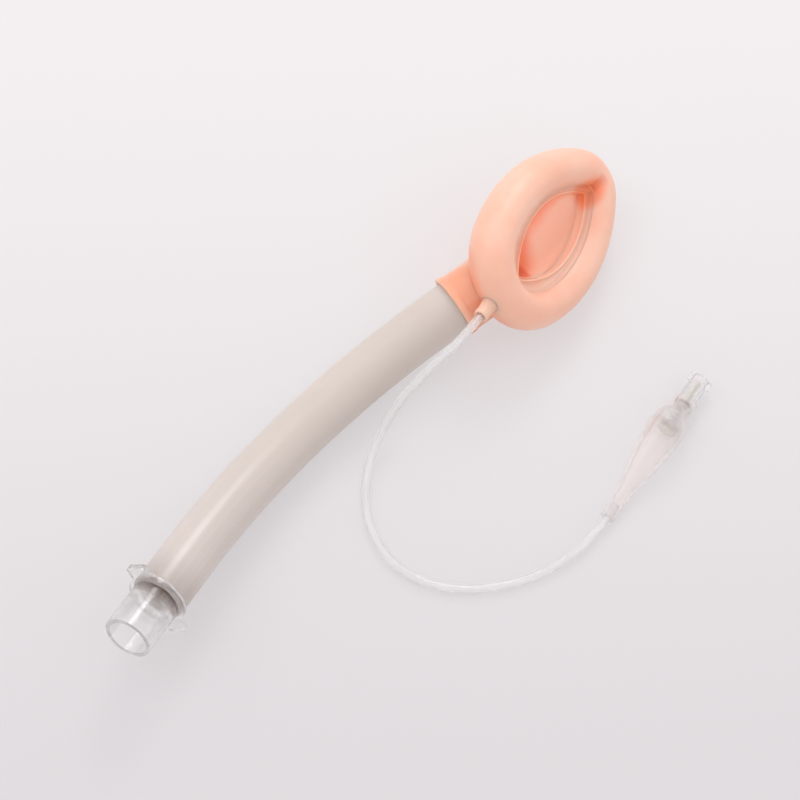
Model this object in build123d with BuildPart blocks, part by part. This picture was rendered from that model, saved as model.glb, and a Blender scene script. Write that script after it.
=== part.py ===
"""Laryngeal mask airway lying on its side: bowl and air cuff, curved tube, breathing-circuit connector,
inflation line, pilot balloon and its spring valve. Millimetres, +Z up, resting on z = 0."""
import os
from math import atan2, cos, degrees, pi, radians, sin, tan

from build123d import *

# Airway tube
tube_od = 17.0
tube_bore = 11.0
bend_radius = 195.0
bend_angle = 35.0
straight_at_connector = 17.0
straight_at_mask = 18.0

# Air cuff: a teardrop ring of four tangent arcs, seen from the front of the mask
ring_length = 55.2
ring_width = 34.8
widest_behind_middle = 3.0
tip_inside_radius = 1.53
cuff_section_width = 13.2
cuff_section_height = 15.6
cuff_wall = 1.3

# Inflation port at the heel of the cuff
port_od = 4.6
port_reach = 7.0
port_height = -0.5
port_flare_length = 3.0
port_flare_angle = 18.0
air_hole = 1.5

# Bowl and tube collar, one moulding. The bowl's rim stands inside the cuff as a narrow ledge
rim_width = 1.2
rim_height = 1.0
rim_depth = 4.0
bowl_wall = 3.0
bond_overlap = 1.0
mask_angle = 32.0
tube_aim_x = -19.0
tube_aim_z = -6.0
tube_stop = 3.0
collar_wall = 1.2
collar_lip = 0.5
collar_lip_length = 2.0
collar_fairing = 10.0
collar_nose_wall = 0.8

# Connector for the breathing circuit
cone_length = 16.0
cone_wide_od = 15.5
cone_narrow_od = 15.2
cone_bore = 12.4
spigot_length = 14.0
spigot_bore = 8.2
barb_pitch = 3.2
barb_depth = 0.35
barb_count = 4
plate_thickness = 1.8
plate_od = 18.6
ear_span = 25.6
ear_width = 7.6
ear_round = 1.2

# Pose on the table: rolled onto one side and tipped until the tube's bend and the cuff carry it
roll = 44.3
pitch = 10.5

# Inflation line
line_od = 2.8
line_grip = 5.0
line_lead = 9.0
line_share = 0.45
line_points = ((14.5, -6.3, 22.0), (3.0, -3.2, 12.3), (-8.5, -3.8, 4.4), (-20.5, -8.3, 1.5), (-31.8, -17.5, 1.45),
               (-37.8, -31.0, 1.4), (-35.2, -46.0, 1.4), (-26.0, -59.0, 1.4), (-12.6, -69.6, 1.45))

# Pilot balloon, a film bag lying along X
balloon_x = 13.4
balloon_y = -75.5
balloon_length = 36.0
balloon_od = 12.8
balloon_film = 0.5
balloon_fullness = ((0.15, 0.42), (0.35, 0.66), (0.6, 0.88), (0.8, 1.0), (0.93, 0.87))
table_gap = 0.2
tail_wall = 0.9
tail_length = 6.0
neck_wall = 0.8
neck_length = 5.0

# Check valve in the end of the balloon
valve_od = 6.4
valve_inside = 12.0
socket_od = 6.0
socket_length = 9.0
socket_mouth = 4.3
socket_taper = 0.06
lug_span = 7.8
lug_width = 3.2
lug_thickness = 1.6
chamber_bore = 4.8
seat_thickness = 1.0
seat_hole = 3.0
cap_thickness = 1.4
cap_hole = 1.8
stem_od = 1.6
stem_below_mouth = 1.4
head_od = 3.8
head_thickness = 1.0
pin_length = 3.0
seal_od = 4.2
seal_thickness = 0.8
spring_od = 3.4
spring_wire = 0.35
spring_turns = 5

os.makedirs("parts", exist_ok=True)


def along(start, direction, distance):
    return tuple(a + b * distance for a, b in zip(start, direction))


# Directions in the mask's own frame: +X to the tip, +Z out of the bowl, Y across. The bend turns back over the bowl.
tube_direction = (cos(radians(mask_angle)), 0, sin(radians(mask_angle)))
tube_aim = (tube_aim_x, 0, tube_aim_z)
tube_axis = Plane(origin=tube_aim, x_dir=(0, 1, 0), z_dir=tube_direction)

with BuildLine(Plane.XZ) as whole_route:
    run_in_collar = Line((tube_aim_x, tube_aim_z),
                         along((tube_aim_x, tube_aim_z), (-tube_direction[0], -tube_direction[2]), straight_at_mask))
    bend = JernArc(run_in_collar @ 1, run_in_collar % 1, bend_radius, -bend_angle)
    Line(bend @ 1, (bend @ 1) + (bend % 1) * straight_at_connector)

connector_seat = whole_route.wire() @ 1
connector_direction = whole_route.wire() % 1

# Teardrop ring: tip and heel arcs on the mask's long axis, tangent to side arcs about (-widest_behind_middle, -+drop)
section_half_width = cuff_section_width / 2
ring_half_width = ring_width / 2
tip_radius = section_half_width + tip_inside_radius
tip_reach = ring_length / 2 + widest_behind_middle
heel_reach = ring_length / 2 - widest_behind_middle
ring_side_radius = (ring_half_width ** 2 + (tip_reach - tip_radius) ** 2 - tip_radius ** 2) / (
    2 * (ring_half_width - tip_radius))
side_drop = ring_side_radius - ring_half_width
heel_radius = (ring_half_width * (2 * ring_side_radius - ring_half_width) - heel_reach ** 2) / (
    2 * (ring_side_radius - heel_reach))
tip_centre = ring_length / 2 - tip_radius
heel_centre = heel_radius - ring_length / 2
tip_turn = degrees(atan2(side_drop, tip_centre + widest_behind_middle))
heel_turn = degrees(atan2(side_drop, heel_centre + widest_behind_middle))


def teardrop():
    """The ring's line, drawn from the tip round to the tip."""
    CenterArc((tip_centre, 0), tip_radius, 0, tip_turn)
    CenterArc((-widest_behind_middle, -side_drop), ring_side_radius, tip_turn, heel_turn - tip_turn)
    CenterArc((heel_centre, 0), heel_radius, heel_turn, 360 - 2 * heel_turn)
    CenterArc((-widest_behind_middle, side_drop), ring_side_radius, -heel_turn, heel_turn - tip_turn)
    CenterArc((tip_centre, 0), tip_radius, -tip_turn, tip_turn)


tip_section = Plane(origin=(ring_length / 2, 0, 0), x_dir=(1, 0, 0), z_dir=(0, 1, 0))


def teardrop_face(growth):
    """The face inside the ring's line, grown or shrunk in its plane."""
    with BuildLine(mode=Mode.PRIVATE) as outline:
        teardrop()
    with BuildSketch(mode=Mode.PRIVATE) as face:
        add(make_face(outline.edges(), mode=Mode.PRIVATE))
        offset(amount=growth, kind=Kind.INTERSECTION, mode=Mode.REPLACE)
    return face.sketch


with BuildPart() as cuff_form:
    with BuildLine() as ring:
        teardrop()
    with BuildSketch(tip_section):
        Ellipse(section_half_width, cuff_section_height / 2)
    sweep(path=ring.wire())

# Collar form, round the tube's axis, with distance along it measured towards the bowl
collar_radius = tube_od / 2 + collar_wall
collar_half = Plane(origin=tube_aim, x_dir=(0, 1, 0), z_dir=Vector(0, 1, 0).cross(Vector(tube_direction)))


def collar_block(growth):
    """The collar as a solid round form, this much larger all over, cut off level with the bowl's rim."""
    with BuildPart(mode=Mode.PRIVATE) as block:
        with BuildSketch(collar_half):
            with BuildLine():
                Polyline((0, -straight_at_mask),
                         (collar_radius + collar_lip + growth, -straight_at_mask),
                         (collar_radius + collar_lip + growth, -straight_at_mask + collar_lip_length),
                         (collar_radius + growth, -straight_at_mask + collar_lip_length + collar_lip),
                         (collar_radius + growth, 0),
                         (tube_bore / 2 + collar_nose_wall + growth, collar_fairing),
                         (0, collar_fairing),
                         close=True)
            make_face()
        revolve(axis=Axis(tube_aim, tube_direction))
        with BuildSketch(Plane.XY.offset(rim_height + growth)):
            Rectangle(2 * ring_length, 2 * ring_width)
        extrude(amount=cuff_section_height, mode=Mode.SUBTRACT)
    return block.part


collar_form = collar_block(0)
collar_clearance = collar_block(cuff_wall)

with BuildPart() as air_space:
    with BuildLine() as inner_ring:
        teardrop()
    with BuildSketch(tip_section):
        Ellipse(section_half_width - cuff_wall, cuff_section_height / 2 - cuff_wall)
    sweep(path=inner_ring.wire())
    add(collar_clearance, mode=Mode.SUBTRACT)

# Air cuff with its inflation port
port_root = -ring_length / 2
port_end = port_root - section_half_width - port_reach
port_plane = Plane(origin=(port_end, 0, port_height), x_dir=(0, 1, 0), z_dir=(1, 0, 0))

with BuildPart() as cuff:
    add(cuff_form.part)
    with BuildSketch(port_plane):
        Circle(port_od / 2)
    extrude(amount=port_root - port_end)
    with BuildSketch(port_plane.offset(port_reach - port_flare_length)):
        Circle(port_od / 2)
    extrude(amount=port_flare_length + section_half_width, taper=-port_flare_angle)
    add(collar_form, mode=Mode.SUBTRACT)
    add(air_space.part, mode=Mode.SUBTRACT)
    with BuildSketch(port_plane):
        Circle(line_od / 2)
    extrude(amount=line_grip, mode=Mode.SUBTRACT)
    with BuildSketch(port_plane):
        Circle(air_hole / 2)
    extrude(amount=port_root - port_end, mode=Mode.SUBTRACT)

# Bowl with the tube collar: outside and hollow are bows turned about the mask's long axis
tube_end = along(tube_aim, tube_direction, -tube_stop)
collar_rim = along(tube_aim, tube_direction, -straight_at_mask)
hollow_reach = ring_length / 2 - section_half_width - rim_width
hollow_depth = ring_width / 2 - section_half_width - rim_width
rim_plane = Plane.XY.offset(rim_height)


def bow(growth):
    """Outline of half a lens that ends at the rim's height, this much larger all over."""
    curve = ThreePointArc((-hollow_reach - growth, rim_height), (0, rim_height - hollow_depth - growth),
                          (hollow_reach + growth, rim_height))
    Line(curve @ 1, curve @ 0)


with BuildPart() as mask_bowl:
    with BuildSketch(Plane.XZ):
        with BuildLine():
            bow(bowl_wall)
        make_face()
    revolve(axis=Axis((0, 0, rim_height), (1, 0, 0)))
    split(bisect_by=rim_plane, keep=Keep.BOTTOM)
    with BuildSketch(rim_plane.offset(-rim_depth)):
        add(teardrop_face(bond_overlap - section_half_width))
    extrude(amount=rim_depth)
    add(cuff_form.part, mode=Mode.SUBTRACT)
    add(collar_form)
    with BuildSketch(Plane.XZ):
        with BuildLine():
            bow(0)
        make_face()
    revolve(axis=Axis((0, 0, rim_height), (1, 0, 0)), mode=Mode.SUBTRACT)
    with BuildSketch(Plane(origin=collar_rim, x_dir=(0, 1, 0), z_dir=tube_direction)):
        Circle(tube_od / 2)
    extrude(amount=straight_at_mask - tube_stop, mode=Mode.SUBTRACT)
    with BuildSketch(Plane(origin=tube_end, x_dir=(0, 1, 0), z_dir=tube_direction)):
        Circle(tube_bore / 2)
    extrude(amount=ring_length / 2, mode=Mode.SUBTRACT)

# Airway tube, straight where it sits in the collar and on the connector
with BuildPart() as airway_tube:
    with BuildLine(Plane.XZ) as tube_route:
        run_from_collar = Line((tube_end[0], tube_end[2]), run_in_collar @ 1)
        tube_bend = JernArc(run_in_collar @ 1, run_in_collar % 1, bend_radius, -bend_angle)
        Line(tube_bend @ 1, (tube_bend @ 1) + (tube_bend % 1) * straight_at_connector)
    with BuildSketch(Plane(origin=tube_end, x_dir=(0, 1, 0), z_dir=tube_direction)):
        Circle(tube_od / 2)
        Circle(tube_bore / 2, mode=Mode.SUBTRACT)
    sweep(path=tube_route.wire())

# Connector: a tapered cone outside the tube, a plate with two ears and a barbed spigot inside it
connector_half = Plane(origin=connector_seat, x_dir=(0, 1, 0), z_dir=Vector(0, 1, 0).cross(connector_direction))
spigot_radius = tube_bore / 2

# Each barb rises gently from the spigot's tip and drops back square
barbs = [point for barb in range(1, barb_count + 1)
         for point in ((spigot_radius, barb * barb_pitch - spigot_length),
                       (spigot_radius - barb_depth, barb * barb_pitch - spigot_length))]

with BuildPart() as connector:
    with BuildSketch(connector_half):
        with BuildLine():
            Polyline((spigot_bore / 2, -spigot_length),
                     (spigot_radius - 2 * barb_depth, -spigot_length),
                     *barbs,
                     (spigot_radius - barb_depth, 0),
                     (plate_od / 2, 0),
                     (plate_od / 2, plate_thickness),
                     (cone_wide_od / 2, plate_thickness),
                     (cone_narrow_od / 2, plate_thickness + cone_length),
                     (cone_bore / 2, plate_thickness + cone_length),
                     (cone_bore / 2, plate_thickness + barb_pitch),
                     (spigot_bore / 2, 0),
                     close=True)
        make_face()
    revolve(axis=Axis(connector_seat, connector_direction))
    with BuildSketch(Plane(origin=connector_seat, x_dir=(0, 1, 0), z_dir=connector_direction)) as ears:
        Rectangle(ear_span, ear_width)
        fillet(ears.vertices(), ear_round)
        Circle(cone_bore / 2, mode=Mode.SUBTRACT)
    extrude(amount=plate_thickness)

# The airway's own pieces are laid on the table together, centred on the origin
turned = Location((0, 0, 0), (0, pitch, 0)) * Location((0, 0, 0), (roll, 0, 0))
airway_pieces = (connector, airway_tube, mask_bowl, cuff)
box = Compound(children=[piece.part.moved(turned) for piece in airway_pieces]).bounding_box()
lying = Location((-box.center().X, -box.center().Y, -box.min.Z)) * turned

for piece in airway_pieces:
    piece.part = piece.part.moved(lying)

# Inflation line: straight runs joined by arcs, gripped by the port and by the balloon's tail
port_mouth = lying * Location((port_end, 0, port_height))
port_way = (lying * Location((port_end - 1, 0, port_height))).position - port_mouth.position
tail_height = line_od / 2 + tail_wall + table_gap
line_route = [port_mouth.position - port_way * line_grip,
              port_mouth.position + port_way * line_lead,
              *[Vector(point) for point in line_points],
              Vector(balloon_x - line_lead, balloon_y, tail_height),
              Vector(balloon_x + line_grip, balloon_y, tail_height)]


def corner_radius(before, corner, after):
    """Largest arc for a corner that leaves room for the arcs beside it."""
    half_turn = radians((corner - before).get_angle(after - corner)) / 2
    return line_share * min((corner - before).length, (after - corner).length) / tan(half_turn)


line_radii = [corner_radius(*line_route[i:i + 3]) for i in range(len(line_route) - 2)]
print("line radii", [round(radius, 1) for radius in line_radii])

with BuildPart() as inflation_line:
    with BuildLine() as line_axis:
        FilletPolyline(*line_route, radius=line_radii)
    with BuildSketch(Plane(origin=line_axis.wire() @ 0, z_dir=line_axis.wire() % 0)):
        Circle(line_od / 2)
    sweep(path=line_axis.wire())

print("line length", line_axis.wire().length, "volume share",
      inflation_line.part.volume / (line_axis.wire().length * pi * (line_od / 2) ** 2))

# Pilot balloon: round sections whose undersides lie in one line along the table
tail_radius = line_od / 2 + tail_wall
neck_radius = valve_od / 2 + neck_wall
body_start = balloon_x + tail_length
body_end = body_start + balloon_length
neck_end = body_end + neck_length


def across(x, radius):
    """Plane across the balloon for a round section of this outer radius, lying on the table."""
    return Plane(origin=(x, balloon_y, radius + table_gap), x_dir=(0, 1, 0), z_dir=(1, 0, 0))


balloon_sections = [(body_start, tail_radius),
                    *[(body_start + balloon_length * share, balloon_od / 2 * fullness)
                      for share, fullness in balloon_fullness],
                    (body_end, neck_radius)]

with BuildPart() as balloon_space:
    for x, radius in balloon_sections:
        with BuildSketch(across(x, radius)):
            Circle(radius - balloon_film)
    loft()

with BuildPart() as pilot_balloon:
    for x, radius in balloon_sections:
        with BuildSketch(across(x, radius)):
            Circle(radius)
    loft()
    add(balloon_space.part, mode=Mode.SUBTRACT)
    with BuildSketch(across(balloon_x, tail_radius)):
        Circle(tail_radius)
    extrude(amount=tail_length)
    with BuildSketch(across(body_end, neck_radius)):
        Circle(neck_radius)
    extrude(amount=neck_length)
    with BuildSketch(across(balloon_x, tail_radius)):
        Circle(line_od / 2)
    extrude(amount=tail_length + balloon_film, mode=Mode.SUBTRACT)
    with BuildSketch(across(neck_end, neck_radius)):
        Circle(valve_od / 2)
    extrude(amount=-neck_length - balloon_film, mode=Mode.SUBTRACT)

# Check valve. Its pieces share one axis, with x measured from the balloon's neck towards the socket's mouth
valve_half = Plane(origin=(neck_end, balloon_y, neck_radius + table_gap), x_dir=(1, 0, 0), z_dir=(0, 0, 1))
valve_axis = Axis(valve_half.origin, (1, 0, 0))
socket_root = socket_mouth - socket_taper * socket_length
head_front = -seat_thickness - seal_thickness
head_back = head_front - head_thickness

with BuildPart() as valve_body:
    with BuildSketch(valve_half):
        with BuildLine():
            Polyline((-valve_inside, chamber_bore / 2), (-valve_inside, valve_od / 2), (0, valve_od / 2),
                     (0, socket_od / 2), (socket_length, socket_od / 2), (socket_length, socket_mouth / 2),
                     (0, socket_root / 2), (0, seat_hole / 2), (-seat_thickness, seat_hole / 2),
                     (-seat_thickness, chamber_bore / 2), close=True)
        make_face()
    revolve(axis=valve_axis)
    with BuildSketch(across(neck_end + socket_length, neck_radius)):
        Rectangle(lug_span, lug_width)
        Circle((socket_od + socket_mouth) / 4, mode=Mode.SUBTRACT)
    extrude(amount=-lug_thickness)

with BuildPart() as valve_end_cap:
    with BuildSketch(valve_half):
        with Locations((cap_thickness / 2 - valve_inside, (cap_hole + chamber_bore) / 4)):
            Rectangle(cap_thickness, (chamber_bore - cap_hole) / 2)
    revolve(axis=valve_axis)

with BuildPart() as valve_plunger:
    with BuildSketch(valve_half):
        with BuildLine():
            Polyline((head_back - pin_length, 0), (head_back - pin_length, stem_od / 2), (head_back, stem_od / 2),
                     (head_back, head_od / 2), (head_front, head_od / 2), (head_front, stem_od / 2),
                     (socket_length - stem_below_mouth, stem_od / 2), (socket_length - stem_below_mouth, 0),
                     close=True)
        make_face()
    revolve(axis=valve_axis)

with BuildPart() as valve_seal:
    with BuildSketch(valve_half):
        with Locations((head_front + seal_thickness / 2, (seal_od + stem_od) / 4)):
            Rectangle(seal_thickness, (seal_od - stem_od) / 2)
    revolve(axis=valve_axis)

spring_start = cap_thickness - valve_inside + spring_wire / 2
spring_length = head_back - spring_wire / 2 - spring_start
spring_seat = Plane(origin=valve_half.from_local_coords((spring_start, 0, 0)), x_dir=(0, 1, 0), z_dir=(1, 0, 0))

with BuildPart() as valve_spring:
    with BuildLine() as coil:
        Helix(pitch=spring_length / spring_turns, height=spring_length, radius=(spring_od - spring_wire) / 2,
              center=spring_seat.origin, direction=spring_seat.z_dir)
    with BuildSketch(Plane(origin=coil.wire() @ 0, z_dir=coil.wire() % 0)):
        Rectangle(spring_wire, spring_wire)
    sweep(path=coil.wire(), is_frenet=True)

for piece, name in ((connector, "connector"), (airway_tube, "airway_tube"), (mask_bowl, "mask_bowl"), (cuff, "cuff"),
                    (inflation_line, "inflation_line"), (pilot_balloon, "pilot_balloon"), (valve_body, "valve_body"),
                    (valve_end_cap, "valve_end_cap"), (valve_plunger, "valve_plunger"), (valve_seal, "valve_seal"),
                    (valve_spring, "valve_spring")):
    piece.part.label = name
    export_step(piece.part, f"parts/{name}.step")
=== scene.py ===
"""Looks of the laryngeal mask airway: silicone tube and mask, clear connector, line, balloon and valve. Metres."""
from math import cos, pi, radians, sin

import bmesh
import bpy
import numpy as np
from mathutils import Euler, Matrix, Vector


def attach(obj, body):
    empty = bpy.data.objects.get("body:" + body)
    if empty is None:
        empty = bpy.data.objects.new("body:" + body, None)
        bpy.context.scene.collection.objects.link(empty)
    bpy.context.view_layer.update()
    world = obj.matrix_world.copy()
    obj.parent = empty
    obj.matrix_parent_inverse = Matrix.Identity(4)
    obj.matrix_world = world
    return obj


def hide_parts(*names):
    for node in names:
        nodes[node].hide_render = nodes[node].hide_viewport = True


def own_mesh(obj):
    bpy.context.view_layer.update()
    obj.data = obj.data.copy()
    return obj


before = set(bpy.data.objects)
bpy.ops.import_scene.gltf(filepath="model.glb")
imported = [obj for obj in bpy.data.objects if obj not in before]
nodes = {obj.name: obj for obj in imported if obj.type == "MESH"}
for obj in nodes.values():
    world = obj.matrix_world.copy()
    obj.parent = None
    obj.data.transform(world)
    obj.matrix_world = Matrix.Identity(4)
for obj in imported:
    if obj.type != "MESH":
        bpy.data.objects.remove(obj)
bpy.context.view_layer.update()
MM = 0.001

# The mask's own frame on the table: +X to its tip, +Z out of its bowl. Rolled about X, then tipped about Y
ROLL, PITCH = radians(44.3), radians(10.5)
MASK_CENTRE = Vector((76.489, -11.195, 19.737)) * MM
MASK_TURN = Euler((0, PITCH, 0)).to_matrix() @ Euler((ROLL, 0, 0)).to_matrix()

# Camera at the photograph's view of the airway
CAMERA_AZIMUTH, CAMERA_ELEVATION, CAMERA_ROLL = radians(-67.51), radians(65.47), radians(11.47)
CAMERA_LENS = 158.4
CAMERA_DISTANCE = 1.0725
CAMERA_AIM = Vector((0.0026, -0.0047, 0.020))


def laid(points):
    """Millimetres in the mask's own frame to metres on the table."""
    turn = np.array(MASK_TURN)
    return np.asarray(points) @ turn.T * MM + np.array(MASK_CENTRE)


def surface(name, points, closed_u=False, closed_v=False, cap=False, material=None):
    """A mesh on a grid of points, shape (u, v, 3), in metres. u and v run 0 to 1 on its UV map."""
    nu, nv = points.shape[:2]
    u, v = np.meshgrid(np.arange(nu if closed_u else nu - 1), np.arange(nv if closed_v else nv - 1), indexing="ij")
    u, v = u.ravel(), v.ravel()
    u1, v1 = (u + 1) % nu, (v + 1) % nv
    faces = np.stack([u * nv + v, u1 * nv + v, u1 * nv + v1, u * nv + v1], 1)
    corner_u = np.stack([u, u + 1, u + 1, u], 1) / (nu if closed_u else nu - 1)
    corner_v = np.stack([v, v, v + 1, v + 1], 1) / (nv if closed_v else nv - 1)
    mesh = bpy.data.meshes.new(name)
    ends = [tuple(range(nv))[::-1], tuple(range((nu - 1) * nv, nu * nv))] if cap else []
    mesh.from_pydata(points.reshape(-1, 3), [], faces.tolist() + ends)
    layer = mesh.uv_layers.new(name="along")
    uv = np.zeros((len(mesh.loops), 2), np.float32)
    uv[:faces.size] = np.stack([corner_u.ravel(), corner_v.ravel()], 1)
    layer.data.foreach_set("uv", uv.ravel())
    mesh.polygons.foreach_set("use_smooth", np.ones(len(mesh.polygons), bool))
    mesh.update()
    piece = bpy.data.objects.new(name, mesh)
    bpy.context.scene.collection.objects.link(piece)
    if material:
        mesh.materials.append(material)
    return piece


def joined(name, parts):
    """One object from several, with their doubles merged and their normals pointing out."""
    mesh = bpy.data.meshes.new(name)
    form = bmesh.new()
    form.loops.layers.uv.new("along")
    for part in parts:
        form.from_mesh(part.data)
    bmesh.ops.remove_doubles(form, verts=form.verts, dist=1e-6)
    bmesh.ops.recalc_face_normals(form, faces=form.faces)
    form.to_mesh(mesh)
    form.free()
    mesh.polygons.foreach_set("use_smooth", np.ones(len(mesh.polygons), bool))
    piece = bpy.data.objects.new(name, mesh)
    bpy.context.scene.collection.objects.link(piece)
    for material in parts[0].data.materials:
        mesh.materials.append(material)
    for part in parts:
        bpy.data.objects.remove(part)
    return piece


class Value:
    """A shader socket that arithmetic works on: each operation adds its Math node."""

    def __init__(self, paint, socket):
        self.paint, self.socket = paint, socket

    def math(self, operation, *others, flip=False):
        inputs = (*others, self) if flip else (self, *others)
        return self.paint.node("ShaderNodeMath", {"operation": operation}, dict(enumerate(inputs)))

    def __add__(self, other): return self.math("ADD", other)
    def __radd__(self, other): return self.math("ADD", other)
    def __sub__(self, other): return self.math("SUBTRACT", other)
    def __rsub__(self, other): return self.math("SUBTRACT", other, flip=True)
    def __mul__(self, other): return self.math("MULTIPLY", other)
    def __rmul__(self, other): return self.math("MULTIPLY", other)
    def __truediv__(self, other): return self.math("DIVIDE", other)
    def __rtruediv__(self, other): return self.math("DIVIDE", other, flip=True)
    def __pow__(self, other): return self.math("POWER", other)
    def clamp(self): return self.math("MAXIMUM", 0).math("MINIMUM", 1)

    def step(self, low, high):
        """0 below low, 1 above high, smooth between."""
        return self.paint.node("ShaderNodeMapRange", {"interpolation_type": "SMOOTHSTEP"},
                               {"Value": self, "From Min": low, "From Max": high}, "Result")


class Paint:
    """A node material being written: its shader's constants are set at once, the rest is linked."""

    def __init__(self, name, **constants):
        self.material = bpy.data.materials.new(name)
        self.material.use_nodes = True
        self.tree = self.material.node_tree
        self.shader = self.tree.nodes["Principled BSDF"]
        for socket, value in constants.items():
            self.shader.inputs[socket.replace("_", " ")].default_value = value

    def node(self, kind, settings=None, inputs=None, output=0):
        """A node of any kind: its settings first, then the values or links of its sockets."""
        made = self.tree.nodes.new(kind)
        for key, value in (settings or {}).items():
            setattr(made, key, value)
        for key, value in (inputs or {}).items():
            self.feed(made.inputs[key], value)
        return Value(self, made.outputs[output])

    def feed(self, socket, value):
        if isinstance(value, Value):
            self.tree.links.new(value.socket, socket)
        else:
            socket.default_value = value

    def set(self, **links):
        for name, value in links.items():
            self.feed(self.shader.inputs[name.replace("_", " ")], value)
        return self.material

    def place(self):
        """The point in metres on the table, from Object coordinates."""
        return self.node("ShaderNodeTexCoord", output="Object")

    def in_mask(self):
        """X, Y and Z in the mask's own frame, in millimetres."""
        return self.split(self.node("ShaderNodeMapping", {"vector_type": "TEXTURE"},
                                    {"Vector": self.place(), "Location": MASK_CENTRE, "Rotation": (ROLL, PITCH, 0),
                                     "Scale": (MM, MM, MM)}))

    def own_uv(self):
        return self.node("ShaderNodeUVMap", {"uv_map": "along"})

    def split(self, vector):
        parts = self.node("ShaderNodeSeparateXYZ", None, {"Vector": vector})
        return [Value(self, socket) for socket in parts.socket.node.outputs]

    def noise(self, vector, scale, detail=2.0):
        return self.node("ShaderNodeTexNoise", None, {"Vector": vector, "Scale": scale, "Detail": detail}, "Fac")

    def blend(self, factor, low, high):
        """Colour low where the factor is 0, high where it is 1."""
        mixed = self.tree.nodes.new("ShaderNodeMix")
        mixed.data_type = "RGBA"
        for index, value in ((0, factor), (6, low), (7, high)):
            self.feed(mixed.inputs[index], value)
        return Value(self, mixed.outputs[2])

    def bump(self, height, distance, strength):
        return self.node("ShaderNodeBump", None, {"Height": height, "Distance": distance, "Strength": strength})


BLACK = (0, 0, 0, 1)


def mask_silicone():
    """Peach silicone of randomly varying tone, with painted shade in a deeper orange inside the bowl towards its
    heel, where the tube opens into the bowl, in the crease at the tip and where the collar meets the cuff, and a
    faint painted glow in the bowl for light passing through its thin wall.
    """
    paint = Paint("mask_silicone", Subsurface_Weight=0.6, Subsurface_Scale=0.003, Subsurface_Radius=(1.0, 0.62, 0.5),
                  Coat_Weight=0.12, Coat_Roughness=0.3, Emission_Strength=0.1)
    pale, paler = (0.93, 0.515, 0.38, 1), (0.955, 0.58, 0.45, 1)
    hollow_shaded, hollow_lit = (0.97, 0.2, 0.08, 1), (0.99, 0.69, 0.55, 1)
    # First colour: painted shade. Second: a painted glow for light passing through the thin wall.
    orange, painted_glow_colour = (0.98, 0.25, 0.10, 1), (1, 0.42, 0.25, 1)
    x, y, z = paint.in_mask()
    where = paint.place()
    cloud = paint.noise(where, 60, 3)
    grain = paint.noise(where, 1500)
    # Painted shade where the tube opens into the bowl, in the crease at the tip and where the collar meets the cuff.
    throat_shade = 1 - (((x + 12) / 15) ** 2 + ((y - 3) / 11) ** 2 + ((z + 7) / 12) ** 2).step(0.15, 1.3)
    fold_shade = 1 - (((x - 21) / 9) ** 2 + (y / 6) ** 2 + ((z - 4) / 6) ** 2).step(0.1, 1.1)
    seat_shade = 1 - (((x + 32) / 8) ** 2 + ((z + 8) / 9) ** 2).step(0.1, 1.1)
    hollow = (1 - ((x / 21) ** 2 + (y / 10) ** 2).step(0.75, 1.05)) * (1 - z.step(0.5, 3.5))
    skin = paint.blend(cloud.step(0.35, 0.7), pale, paler)
    # Inside the bowl's hollow: painted shade, darker towards its heel and one side and lighter on the lit side, with
    # a random mottle.
    shade_and_mottle = (0.5 + x / 30 - y / 7 + 0.8 * (paint.noise(where, 110) - 0.5)).clamp()
    inside = paint.blend(hollow, skin, paint.blend(shade_and_mottle, hollow_shaded, hollow_lit))
    # Base colour with the painted shade blended in.
    shaded_base = paint.blend((throat_shade + 0.85 * fold_shade + 0.5 * seat_shade).clamp(), inside, orange)
    # Painted glow in the hollow, for light passing through the thin wall; weaker where the tube opens into the bowl.
    through = paint.blend(hollow * (1 - 0.7 * throat_shade) * (0.6 + 0.8 * cloud), BLACK, painted_glow_colour)
    return paint.set(Base_Color=shaded_base, Emission_Color=through, Roughness=0.36 + 0.1 * cloud,
                     Normal=paint.bump(grain, 0.00002, 0.3))


def tube_silicone():
    """Milky silicone, clearer and faintly pink towards the connector, with fine lengthwise flow lines there."""
    paint = Paint("tube_silicone", Subsurface_Weight=0.5, Subsurface_Scale=0.008,
                  Subsurface_Radius=(1.0, 0.85, 0.75), Coat_Weight=0.16, Coat_Roughness=0.2)
    u, v, _ = paint.split(paint.own_uv())
    back = -1 * paint.in_mask()[0]
    near = back.step(60, 165)
    lines = paint.noise(paint.node("ShaderNodeCombineXYZ", None, {0: u * 0.6, 1: v * 90}), 1.0)
    cloud = paint.noise(paint.place(), 45)
    milk = paint.blend(cloud, (0.615, 0.54, 0.492, 1), (0.655, 0.575, 0.525, 1))
    clearer = paint.blend(near, milk, (0.635, 0.56, 0.525, 1))
    streaked = paint.blend(near * lines.step(0.45, 0.75) * 0.35, clearer, (0.745, 0.685, 0.66, 1))
    return paint.set(Base_Color=streaked, Alpha=1 - 0.4 * back.step(150, 172), Roughness=0.3 + 0.08 * cloud,
                     Normal=paint.bump(lines, 0.000015, 0.25))


def clear_plastic():
    """Clear hard plastic, faintly cloudy from the mould."""
    paint = Paint("clear_plastic", Base_Color=(1, 1, 1, 1), IOR=1.42, Alpha=0.7,
                  Transmission_Weight=1.0, Coat_Weight=0.4, Coat_Roughness=0.04)
    cloud = paint.noise(paint.place(), 180)
    return paint.set(Roughness=0.03 + 0.05 * cloud)


def clear_film(name, tint, rough, cover, wave_depth):
    """Thin clear vinyl, see-through where nothing shines on it, with soft waves."""
    paint = Paint(name, Base_Color=tint, IOR=1.4, Alpha=cover, Transmission_Weight=0.6, Coat_Weight=0.5,
                  Coat_Roughness=0.08)
    wave = paint.noise(paint.place(), 220)
    return paint.set(Roughness=rough + 0.08 * wave, Normal=paint.bump(wave, wave_depth, 0.4))


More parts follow.
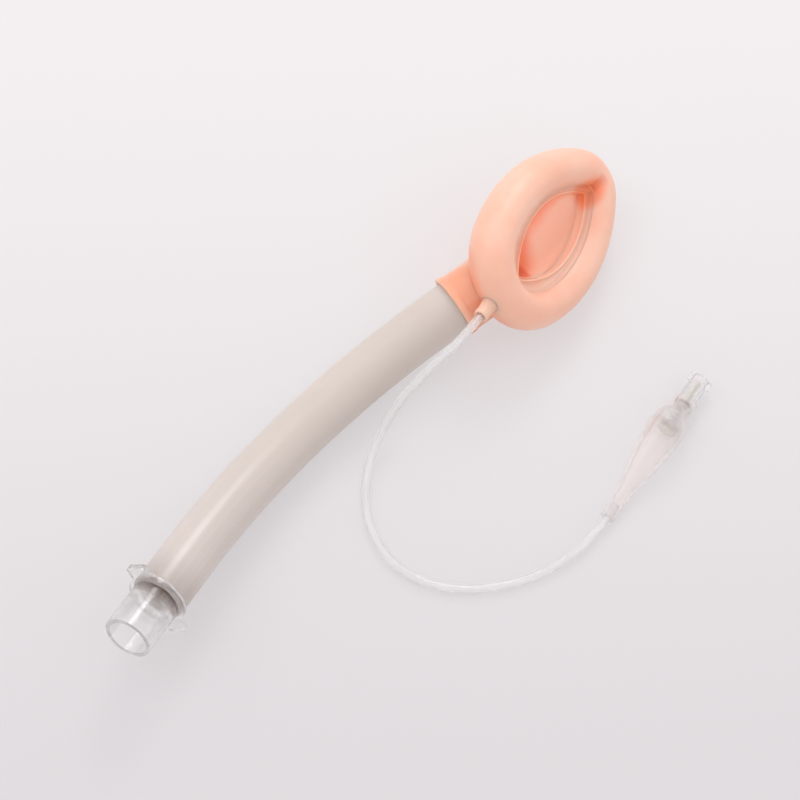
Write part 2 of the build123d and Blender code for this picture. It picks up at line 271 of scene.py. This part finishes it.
def plain(name, colour, rough, metal=0.0):
    """A small moulded or wire piece with a fine grain."""
    paint = Paint(name, Metallic=metal)
    grain = paint.noise(paint.place(), 900)
    dark = tuple(part * 0.85 for part in colour)
    return paint.set(Base_Color=paint.blend(grain, (*dark, 1), (*colour, 1)), Roughness=rough + 0.08 * grain)


peach = mask_silicone()
milky = tube_silicone()
clear = clear_plastic()
film = clear_film("balloon_film", (1.0, 0.93, 0.91, 1), 0.16, 0.34, 0.00012)
vinyl = clear_film("line_vinyl", (0.98, 0.975, 0.98, 1), 0.08, 0.5, 0.00001)
ivory = plain("valve_ivory", (0.85, 0.82, 0.74), 0.35)
rubber = plain("seal_rubber", (0.24, 0.24, 0.25), 0.55)
steel = plain("spring_steel", (0.55, 0.56, 0.58), 0.25, 1.0)

# Cuff: a teardrop ring of tangent arcs with an oval section that is fuller at the heel
RING_LENGTH, RING_WIDTH, WIDEST_BEHIND, SIDE_RADIUS = 55.2, 34.8, 3.0, 40.0
SECTION_WIDTH, SECTION_HEIGHT = 13.2, 15.6
HEEL_SLIMMING, HEEL_SPREAD = 0.28, 0.9
TIP_SLIMMING, TIP_LOWERING, TIP_SPREAD = 0.24, 0.45, 0.32


def ring_line(t):
    """Ring's line and outward normal at t from 0 to 1, from the tip round to the tip, by length along its arcs."""
    drop = SIDE_RADIUS - RING_WIDTH / 2
    reach = np.array([RING_LENGTH / 2 + WIDEST_BEHIND, RING_LENGTH / 2 - WIDEST_BEHIND])
    tip_r, heel_r = (SIDE_RADIUS * RING_WIDTH - reach ** 2 - (RING_WIDTH / 2) ** 2) / (2 * (SIDE_RADIUS - reach))
    tip_x, heel_x = RING_LENGTH / 2 - tip_r, heel_r - RING_LENGTH / 2
    tip_turn = np.arctan2(drop, tip_x + WIDEST_BEHIND)
    heel_turn = np.arctan2(drop, heel_x + WIDEST_BEHIND)
    radius = np.array([tip_r, SIDE_RADIUS, heel_r, SIDE_RADIUS, tip_r])
    centre = np.array([(tip_x, 0), (-WIDEST_BEHIND, -drop), (heel_x, 0), (-WIDEST_BEHIND, drop), (tip_x, 0)])
    start = np.array([0, tip_turn, heel_turn, 2 * pi - heel_turn, 2 * pi - tip_turn])
    turn = np.append(start[1:], 2 * pi) - start
    ends = np.append(0, np.cumsum(radius * turn))
    s = np.asarray(t) * ends[-1]
    arc = np.clip(np.searchsorted(ends, s, "right") - 1, 0, 4)
    angle = start[arc] + (s - ends[arc]) / radius[arc]
    normal = np.stack([np.cos(angle), np.sin(angle)], -1)
    return centre[arc] + radius[arc, None] * normal, normal


def round_the_heel(normal):
    """1 at the heel, falling off as a bell curve with the turn away from it."""
    return np.exp(-((pi - np.abs(np.arctan2(normal[:, 1], normal[:, 0]))) / HEEL_SPREAD) ** 2)[:, None]


def cuff_skin(steps=280, around=80):
    """Ring line carries an oval. Its inner side is slimmer at the heel, and slimmer and lower at the tip."""
    t = np.arange(steps) / steps
    line, normal = ring_line(t)
    off_tip = np.arctan2(normal[:, 1], normal[:, 0])[:, None]
    angle = (np.arange(around) / around * 2 * pi)[None]
    inner, upper = np.clip(-np.cos(angle), 0, 1), np.clip(np.sin(angle), 0, 1)
    at_tip, at_heel = np.exp(-(off_tip / TIP_SPREAD) ** 2), round_the_heel(normal)
    slimmer = 1 - inner * (HEEL_SLIMMING * at_heel + TIP_SLIMMING * at_tip)
    lower = 1 - inner * upper * TIP_LOWERING * at_tip - 0.04 * at_tip
    half_width = SECTION_WIDTH / 2 * slimmer * np.cos(angle)
    height = SECTION_HEIGHT / 2 * lower * np.sin(angle)
    points = np.stack([line[:, :1] + normal[:, :1] * half_width, line[:, 1:] + normal[:, 1:] * half_width, height],
                      -1)
    return surface("cuff_ring", laid(points), True, True, material=peach)


# Bowl's rim: a narrow ridge round a lens-shaped hollow, and outside it a ledge up to a seam on the cuff
LENS_MIDDLE, LENS_REACH, LENS_WIDTH, SEAM_HEIGHT = -0.9, 20.7, 9.6, 4.6
# Ridge: millimetres out from the lens, and height. Ledge: share of the way from the lens to the seam, and height
RIDGE = ((-0.35, 0.2), (-0.1, 1.6), (0.0, 2.9), (0.1, 3.35), (0.3, 3.5), (0.5, 3.35), (0.62, 3.0))
LEDGE = ((0.5, 3.1), (0.85, 3.5), (0.95, 4.2), (1.0, 4.75), (1.06, 4.9), (1.15, 4.6), (1.25, 3.6))


def rim_skin(steps=240):
    """Profile points move from a lens of two arcs out to the cuff's inner side, each with its own height."""
    line, normal = ring_line(np.arange(steps) / steps)
    seam_depth = SECTION_WIDTH / 2 * np.sqrt(1 - (SEAM_HEIGHT / SECTION_HEIGHT * 2) ** 2)
    seam = line - normal * seam_depth * (1 - HEEL_SLIMMING * round_the_heel(normal))
    radius = (LENS_REACH ** 2 + LENS_WIDTH ** 2) / (2 * LENS_WIDTH)
    reach = (seam[:, 0] - LENS_MIDDLE) / np.abs(seam[:, 0] - LENS_MIDDLE).max() * LENS_REACH
    half_width = np.sqrt(radius ** 2 - reach ** 2) - radius + LENS_WIDTH
    lens = np.stack([LENS_MIDDLE + reach, np.sign(seam[:, 1]) * half_width], 1)
    way = seam - lens
    gap = np.linalg.norm(way, axis=1, keepdims=True)
    way /= gap
    spots = [lens + way * out for out, _ in RIDGE] + [lens + way * share * gap for share, _ in LEDGE]
    rings = [np.concatenate([spot, np.full((steps, 1), height)], 1)
             for spot, (_, height) in zip(spots, RIDGE + LEDGE)]
    return surface("bowl_rim", laid(np.stack(rings)), False, True, material=peach)


# Inflation port: a nipple whose root flares into the heel of the cuff
PORT_END, PORT_FLARE, PORT_ROOT, PORT_HEIGHT, PORT_RADIUS = -39.6, -37.2, -28.5, -0.5, 2.3
LINE_RADIUS = 1.4


def port_skin():
    """Turned profile along X: rounded mouth, slim neck, flare towards the cuff by the square of the distance."""
    x = np.linspace(PORT_END + 0.5, PORT_ROOT, 24)
    flare = np.clip((x - PORT_FLARE) / 8, 0, 1)
    outer = np.stack([x, PORT_RADIUS + 2.6 * flare ** 2], 1)
    mouth = np.array([(PORT_END + 5, LINE_RADIUS), (PORT_END + 0.3, LINE_RADIUS), (PORT_END, LINE_RADIUS + 0.3),
                      (PORT_END, PORT_RADIUS - 0.4), (PORT_END + 0.15, PORT_RADIUS - 0.12)])
    profile = np.concatenate([mouth, outer])
    angle = np.arange(36) / 36 * 2 * pi
    points = np.stack(np.broadcast_arrays(profile[:, :1], profile[:, 1:] * np.cos(angle),
                                          PORT_HEIGHT + profile[:, 1:] * np.sin(angle)), -1)
    return surface("cuff_port", laid(points), False, True, material=peach)


def softened(node, name, voxel, rounds, material):
    """A copy of a CAD node's closed form, remeshed in small cells and smoothed, with edges as moulded rubber has."""
    piece = bpy.data.objects.new(name, nodes[node].data.copy())
    bpy.context.scene.collection.objects.link(piece)
    remesh = piece.modifiers.new("cells", "REMESH")
    remesh.mode, remesh.voxel_size, remesh.use_smooth_shade = "VOXEL", voxel, True
    smooth = piece.modifiers.new("soft", "SMOOTH")
    smooth.factor, smooth.iterations = 0.5, rounds
    baked = bpy.data.meshes.new_from_object(piece.evaluated_get(bpy.context.evaluated_depsgraph_get()))
    piece.modifiers.clear()
    piece.data = baked
    baked.name = name
    baked.materials.clear()
    baked.materials.append(material)
    baked.polygons.foreach_set("use_smooth", np.ones(len(baked.polygons), bool))
    return piece


# Airway tube
TUBE_RADIUS, TUBE_BORE = 8.5, 5.5
BEND_RADIUS, BEND_ANGLE, MASK_ANGLE = 195.0, radians(35.0), radians(32.0)
STRAIGHT_CONNECTOR, STRAIGHT_MASK, TUBE_STOP = 17.0, 18.0, 3.0
TUBE_LENGTH = STRAIGHT_MASK + BEND_RADIUS * BEND_ANGLE + STRAIGHT_CONNECTOR
TUBE_AIM = np.array([-19.0, -6.0])
RIM_ROUND, RIM_FALL, BORE_STEPS = 0.6, 0.9, 80


def tube_line(s):
    """Centreline and direction in the mask's middle plane, s mm back from its aim: straight, bend, straight."""
    s = np.asarray(s, float)[:, None]
    back = -np.array([cos(MASK_ANGLE), sin(MASK_ANGLE)])
    side = np.array([back[1], -back[0]])
    first = np.minimum(s, STRAIGHT_MASK)
    turned = np.clip((s - STRAIGHT_MASK) / BEND_RADIUS, 0, BEND_ANGLE)
    last = np.maximum(s - STRAIGHT_MASK - BEND_RADIUS * BEND_ANGLE, 0)
    way = back * np.cos(turned) + side * np.sin(turned)
    bend = BEND_RADIUS * (back * np.sin(turned) + side * (1 - np.cos(turned)))
    return TUBE_AIM + back * first + bend + way * last, way


def tube_skin(steps=260, around=96):
    """A closed section of outer wall, rounded rims and bore is carried along the tube's line."""
    s = np.linspace(TUBE_STOP, TUBE_LENGTH, steps)
    rim = np.array([0.0, 0.12, 0.3, RIM_ROUND])
    outer_s = np.concatenate([s[0] + rim, s[2:-2], s[-1] - rim[::-1]])
    to_edge = np.concatenate([RIM_ROUND - rim, 0 * s[2:-2], (RIM_ROUND - rim)[::-1]])
    outer_r = TUBE_RADIUS - to_edge ** 2 / RIM_ROUND * RIM_FALL
    point, way = tube_line(np.concatenate([outer_s, np.linspace(s[-1], s[0], BORE_STEPS)]))
    ring = np.concatenate([outer_r, np.full(BORE_STEPS, TUBE_BORE)])[:, None]
    across = np.stack([-way[:, 1], way[:, 0]], 1)
    angle = np.arange(around) / around * 2 * pi
    points = np.stack([point[:, :1] + across[:, :1] * ring * np.cos(angle), ring * np.sin(angle),
                       point[:, 1:] + across[:, 1:] * ring * np.cos(angle)], -1)
    return surface("tube_skin", laid(points), True, True, material=milky)


# Inflation line: the route's points, the port's grip first and the balloon's tail last
LINE_BORE = 0.7
LINE_ROUTE = ((40.83, -10.85, 25.98), (27.06, -10.85, 28.53), (14.5, -6.3, 22.0), (3.0, -3.2, 12.3),
              (-8.5, -3.8, 4.4), (-20.5, -8.3, 1.5), (-31.8, -17.5, 1.45), (-37.8, -31.0, 1.4), (-35.2, -46.0, 1.4),
              (-26.0, -59.0, 1.4), (-12.6, -69.6, 1.45), (4.4, -75.5, 2.5), (18.4, -75.5, 2.5))


def line_path():
    """Points read from the smooth spline whose control points are the route."""
    curve = bpy.data.curves.new("line_path", "CURVE")
    curve.dimensions = "3D"
    curve.resolution_u = 24
    spline = curve.splines.new("NURBS")
    spline.points.add(len(LINE_ROUTE) - 1)
    for point, place in zip(spline.points, LINE_ROUTE):
        point.co = (*(Vector(place) * MM), 1)
    spline.order_u = 3
    spline.use_endpoint_u = True
    holder = bpy.data.objects.new("line_path", curve)
    bpy.context.scene.collection.objects.link(holder)
    mesh = bpy.data.meshes.new_from_object(holder)
    path = np.array([v.co for v in mesh.vertices])
    bpy.data.objects.remove(holder)
    return path


def carried(name, path, radii, around, material):
    """A tube of two radii is carried along the path, out along its outer wall and back along its bore."""
    way = np.gradient(path, axis=0)
    way /= np.linalg.norm(way, axis=1, keepdims=True)
    side = np.cross(way, (0, 0, 1.0))
    side /= np.linalg.norm(side, axis=1, keepdims=True)
    rise = np.cross(side, way)
    angle = np.arange(around) / around * 2 * pi
    spoke = side[:, None] * np.cos(angle)[:, None] + rise[:, None] * np.sin(angle)[:, None]
    outer, bore = (path[:, None] + radius * spoke for radius in radii)
    return surface(name, np.concatenate([outer, bore[::-1]]), True, True, material=material)


path = line_path()
line = carried("inflation_line_skin", path, (LINE_RADIUS * MM, LINE_BORE * MM), 20, vinyl)

# Pilot balloon: a film bag whose underside lies along the table
BALLOON_X, BALLOON_Y, TABLE_GAP = 13.4, -75.5, 0.2
TAIL_RADIUS, TAIL_LENGTH, BALLOON_LENGTH = 2.3, 6.0, 36.0
NECK_RADIUS, NECK_BORE, NECK_LENGTH, FILM = 4.0, 3.2, 5.0, 0.35


def balloon_skin(steps=150, around=80):
    """Creased round sections along X, widths smoothed between a few, rest on the table. The film has two walls."""
    share = np.array([-TAIL_LENGTH / BALLOON_LENGTH, 0.0, 0.15, 0.35, 0.6, 0.8, 0.93, 1.0,
                      1 + NECK_LENGTH / BALLOON_LENGTH])
    width = np.array([TAIL_RADIUS, TAIL_RADIUS, 2.75, 4.2, 5.6, 6.25, 5.6, NECK_RADIUS, NECK_RADIUS])
    t = np.linspace(share[0], share[-1], steps)
    radius = np.interp(t, share, width)
    for _ in range(12):
        radius[1:-1] = (radius[:-2] + 2 * radius[1:-1] + radius[2:]) / 4
    angle = np.arange(around) / around * 2 * pi
    x = BALLOON_X + TAIL_LENGTH + t * BALLOON_LENGTH
    film_wall = np.where(t < 0, TAIL_RADIUS - LINE_RADIUS, np.where(t > 1, NECK_RADIUS - NECK_BORE, FILM))
    body = np.clip(np.minimum(t, 1 - t) * 5, 0, 1)[:, None]
    crease = 1 - 0.018 * body * np.cos(2 * angle) - 0.008 * body * np.sin(5 * angle + 9 * t[:, None])
    walls = [np.stack(np.broadcast_arrays(x[:, None], BALLOON_Y + r * np.cos(angle) * (2 - crease),
                                          TABLE_GAP + radius[:, None] + r * np.sin(angle) * crease), -1)
             for r in (radius[:, None], (radius - film_wall)[:, None])]
    return surface("balloon_skin", np.concatenate([walls[0], walls[1][::-1]]) * MM, True, True, material=film)


cuff = joined("cuff_skin", [cuff_skin(), port_skin()])
BOWL_CELL, BOWL_ROUNDS = 0.35 * MM, 6
bowl = joined("bowl_skin", [softened("mask_bowl", "bowl_form", BOWL_CELL, BOWL_ROUNDS, peach), rim_skin()])
tube = tube_skin()
balloon = balloon_skin()

for piece, node in ((cuff, "cuff"), (bowl, "mask_bowl"), (tube, "airway_tube"), (line, "inflation_line"),
                    (balloon, "pilot_balloon")):
    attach(piece, "airway")
    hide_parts(node)

for node, material in (("connector", clear), ("valve_body", clear), ("valve_end_cap", ivory),
                       ("valve_plunger", ivory), ("valve_seal", rubber), ("valve_spring", steel)):
    nodes[node].data.materials.clear()
    nodes[node].data.materials.append(material)

# The spring gets a mesh of its own
spring = nodes["valve_spring"]
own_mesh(spring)


def stage():
    """A plain pale floor that keeps the object's shadow, paler away from the viewer. Its glow is only seen, and
    lights nothing."""
    lit, lit_seen = (0.83, 0.80, 0.815, 1), (0.29, 0.28, 0.283, 1)
    near_glow, far_glow = (0.425, 0.406, 0.422, 1), (0.55, 0.531, 0.536, 1)
    reach = 4.0
    corners = [(-reach, -reach, 0), (reach, -reach, 0), (reach, reach, 0), (-reach, reach, 0)]
    mesh = bpy.data.meshes.new("floor")
    mesh.from_pydata(corners, [], [(0, 1, 2, 3)])
    floor = bpy.data.objects.new("floor", mesh)
    bpy.context.scene.collection.objects.link(floor)
    paint = Paint("floor_paint", Roughness=0.8, Specular_IOR_Level=0.2, Emission_Strength=1.0)
    x, y, _ = paint.split(paint.place())
    ray = paint.node("ShaderNodeLightPath")
    camera_ray, glossy_ray, through_ray = (
        Value(paint, ray.socket.node.outputs[kind]) for kind in ("Is Camera Ray", "Is Glossy Ray",
                                                                 "Is Transmission Ray"))
    seen = (camera_ray + glossy_ray + through_ray).clamp()
    depth = (x * UP_THE_PICTURE.x + y * UP_THE_PICTURE.y).step(-0.16, 0.16)
    paint.set(Base_Color=paint.blend(seen, lit, lit_seen),
              Emission_Color=paint.blend(seen, BLACK, paint.blend(depth, near_glow, far_glow)))
    mesh.materials.append(paint.material)


def lamp(name, place, aim, size, power):
    """A round soft lamp at a place, turned to what it aims at."""
    data = bpy.data.lights.new(name, "AREA")
    data.shape, data.size, data.energy = "DISK", size, power
    made = bpy.data.objects.new(name, data)
    made.location = place
    made.rotation_euler = (Vector(aim) - Vector(place)).to_track_quat("-Z", "Y").to_euler()
    bpy.context.scene.collection.objects.link(made)


# The camera's own directions: towards it, to its right and up its picture
toward = Vector((sin(CAMERA_AZIMUTH) * cos(CAMERA_ELEVATION), -cos(CAMERA_AZIMUTH) * cos(CAMERA_ELEVATION),
                 sin(CAMERA_ELEVATION)))
level = Vector((cos(CAMERA_AZIMUTH), sin(CAMERA_AZIMUTH), 0))
right = level * cos(CAMERA_ROLL) + toward.cross(level) * sin(CAMERA_ROLL)
above = toward.cross(right)
UP_THE_PICTURE = Vector((above.x, above.y)).normalized()
camera_data = bpy.data.cameras.new("camera")
camera_data.lens = CAMERA_LENS
camera = bpy.data.objects.new("camera", camera_data)
camera.matrix_world = Matrix.Translation(CAMERA_AIM + toward * CAMERA_DISTANCE) @ Matrix(
    (right, above, toward)).transposed().to_4x4()
bpy.context.scene.collection.objects.link(camera)
bpy.context.scene.camera = camera

stage()
lamp("key", CAMERA_AIM + (above * 0.7 - right * 0.8 + toward * 1.1), CAMERA_AIM, 1.1, 3.9)
# The second lamp lies where the connector's cone and the tube mirror it as one long highlight
CONE = Vector((-0.1, 0.019, 0.021))
MIRRORED_WAY = Vector((0.724, 0.290, 0.626))
lamp("window", CONE + MIRRORED_WAY * 1.2, CONE, 0.46, 3.1)
world = bpy.data.worlds.new("world")
bpy.context.scene.world = world
world.use_nodes = True
world.node_tree.nodes["Background"].inputs["Color"].default_value = (1, 0.985, 0.99, 1)
world.node_tree.nodes["Background"].inputs["Strength"].default_value = 0.87
bpy.context.scene.view_settings.view_transform = "Standard"
